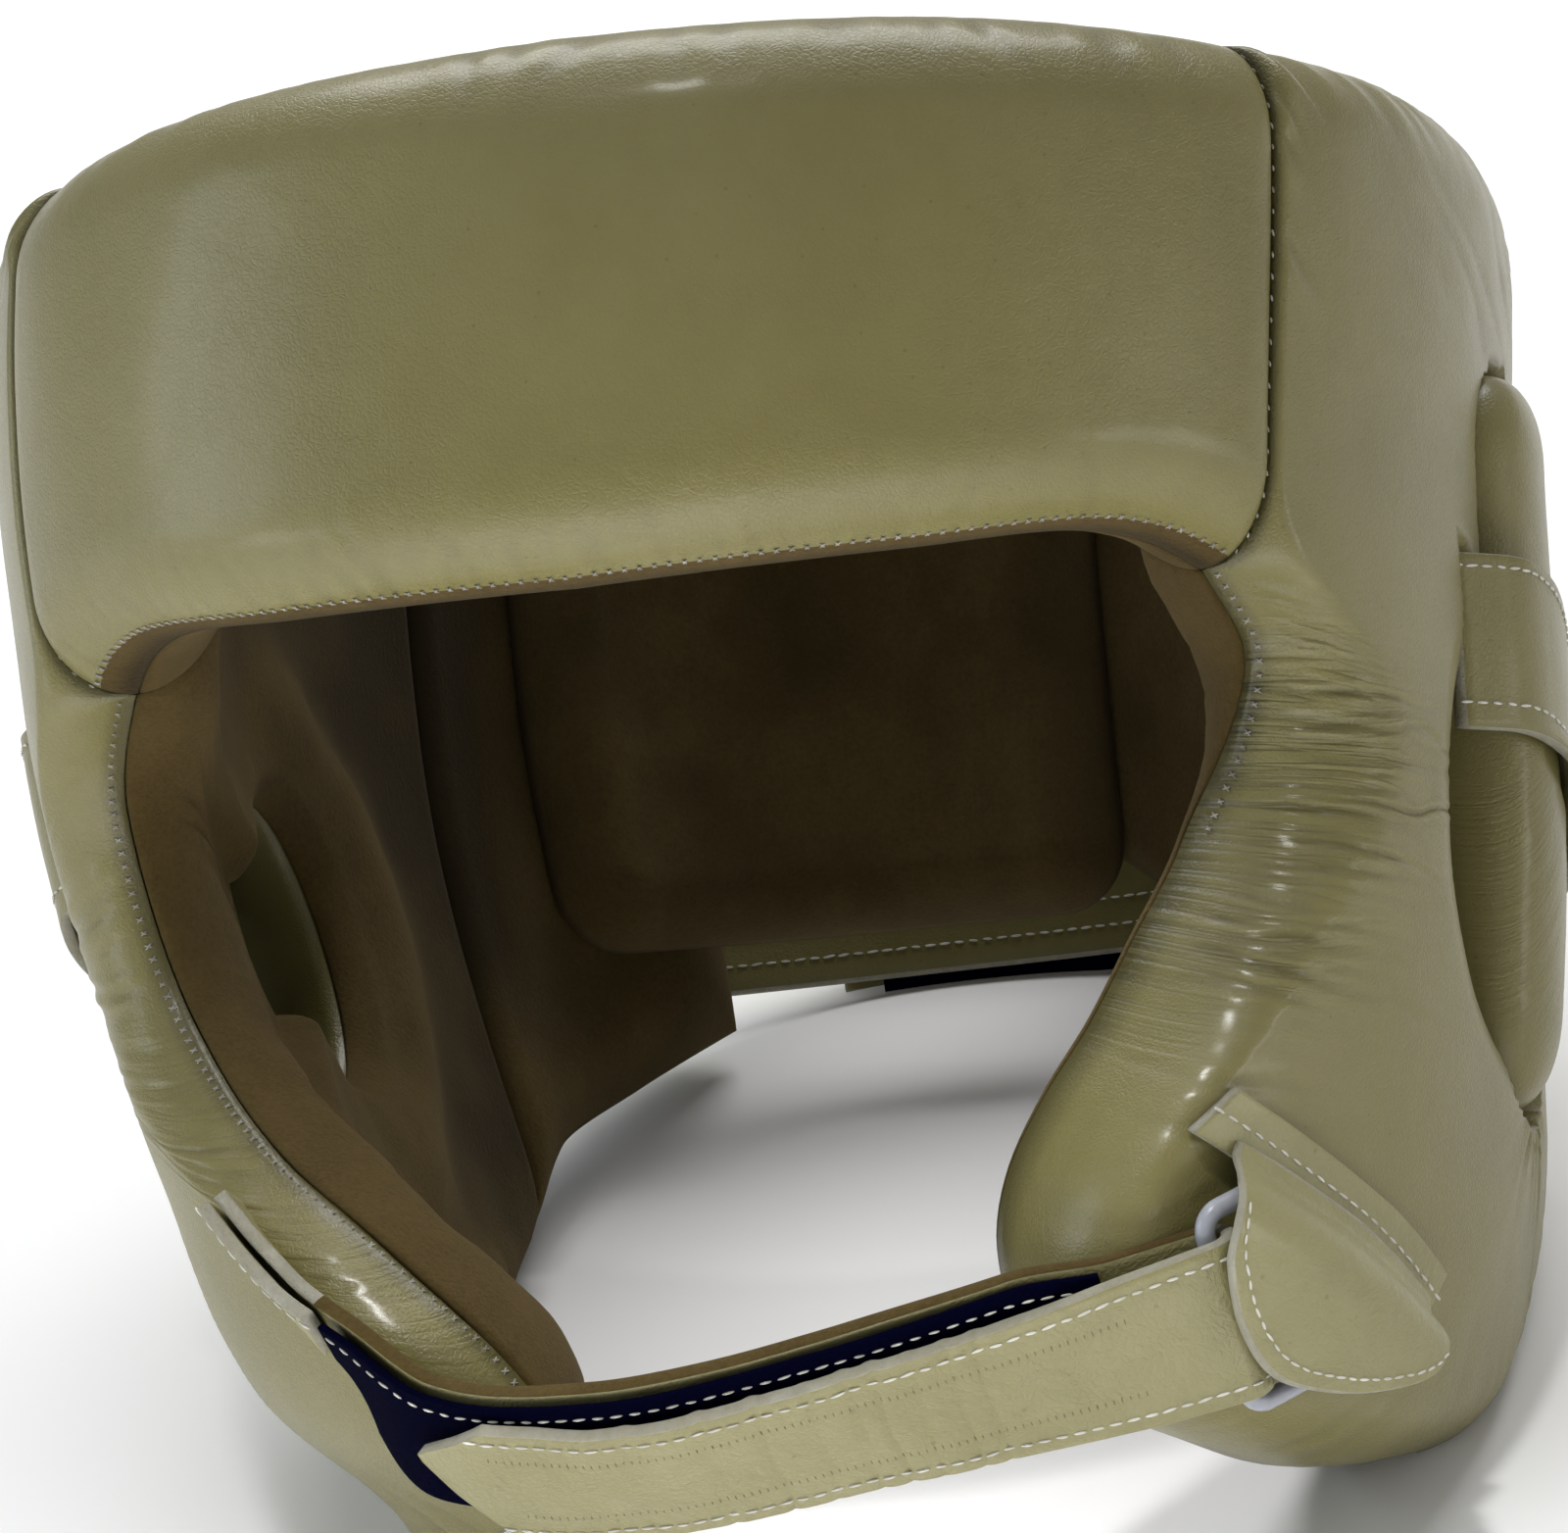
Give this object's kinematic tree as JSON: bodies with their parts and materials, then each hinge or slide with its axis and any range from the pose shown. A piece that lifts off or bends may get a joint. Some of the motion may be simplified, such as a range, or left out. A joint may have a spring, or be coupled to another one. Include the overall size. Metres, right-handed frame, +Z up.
{
  "type": "open-face boxing head guard",
  "caption": "Padded leather head guard for boxing, open at the face, crown and ears, lined with suede, with a ringed chin strap and a hook-and-loop back strap.",
  "frame": {"origin": "middle of the part's box on the floor it rests on", "axes": "+Z up, -Y to the wearer's front, +X to the wearer's left; the guard leans back on its lower edge"},
  "size_m": [0.2384, 0.2723, 0.2272],
  "materials": {
    "leather": "khaki, satin, fine grain",
    "suede": "brown suede, matt",
    "tape": "navy hook-and-loop tape",
    "ring": "grey, satin"
  },
  "bodies": {
    "root": {"front_pad": "leather", "cheek_pad_left": "leather", "cheek_pad_right": "leather", "rear_wing_left": "leather", "rear_wing_right": "leather", "ear_bar_left": "leather", "ear_bar_right": "leather", "ear_band_left": "leather", "ear_band_right": "leather", "back_strap": "leather", "back_flap": "leather", "chin_strap": "leather", "ring_tab": "leather", "ring_patch": "leather", "anchor_tab": "leather", "front_lining": "suede", "cheek_lining_left": "suede", "cheek_lining_right": "suede", "rear_wing_lining_left": "suede", "rear_wing_lining_right": "suede", "back_pad": "suede", "back_hook": "tape", "chin_strap_pile": "tape", "strap_ring": "ring"}
  },
  "joints": []
}
